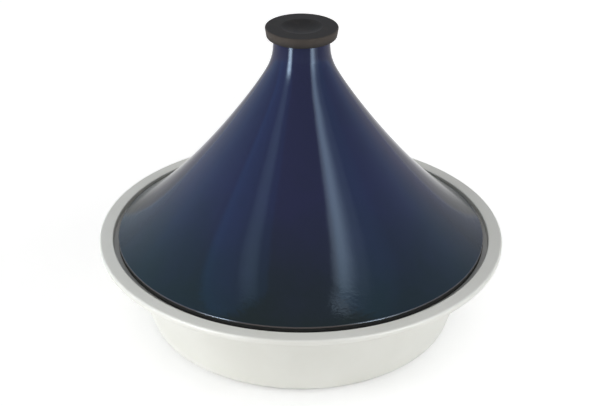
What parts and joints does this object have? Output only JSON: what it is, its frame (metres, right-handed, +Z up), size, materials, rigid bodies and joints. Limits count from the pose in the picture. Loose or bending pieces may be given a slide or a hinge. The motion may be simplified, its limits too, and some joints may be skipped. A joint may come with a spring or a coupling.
{
  "type": "tagine pot",
  "caption": "Round tagine: a flared dish with a broad flat rim, a tall flared conical lid seated in the rim's gallery, and a soft disc knob screwed on its neck.",
  "frame": {"origin": "middle of the dish's foot, on the surface that it stands on", "axes": "+Z up along the axis of the dish and the lid; -Y towards the viewer; all pieces are round about +Z"},
  "size_m": [0.35, 0.35, 0.2663],
  "materials": {
    "dish_glaze": "satin white glaze",
    "lid_glaze": "glossy navy glaze, darker and greener towards the edge",
    "knob_silicone": "matte dark grey-brown silicone",
    "core_resin": "heat-resistant black resin",
    "insert_brass": "turned",
    "seal_silicone": "grey silicone",
    "screw_steel": "plain stainless steel"
  },
  "bodies": {
    "dish": {"dish": "dish_glaze"},
    "lid": {"lid": "lid_glaze", "knob": "knob_silicone", "knob_core": "core_resin", "thread_insert": "insert_brass", "neck_gasket": "seal_silicone", "knob_screw": "screw_steel", "screw_washer": "screw_steel", "screw_seal": "seal_silicone"}
  },
  "joints": [
    {"name": "lid_lift", "type": "slide", "parent": "dish", "child": "lid", "axis": [0, 0, 1], "range_m": [0, 0.15]}
  ]
}
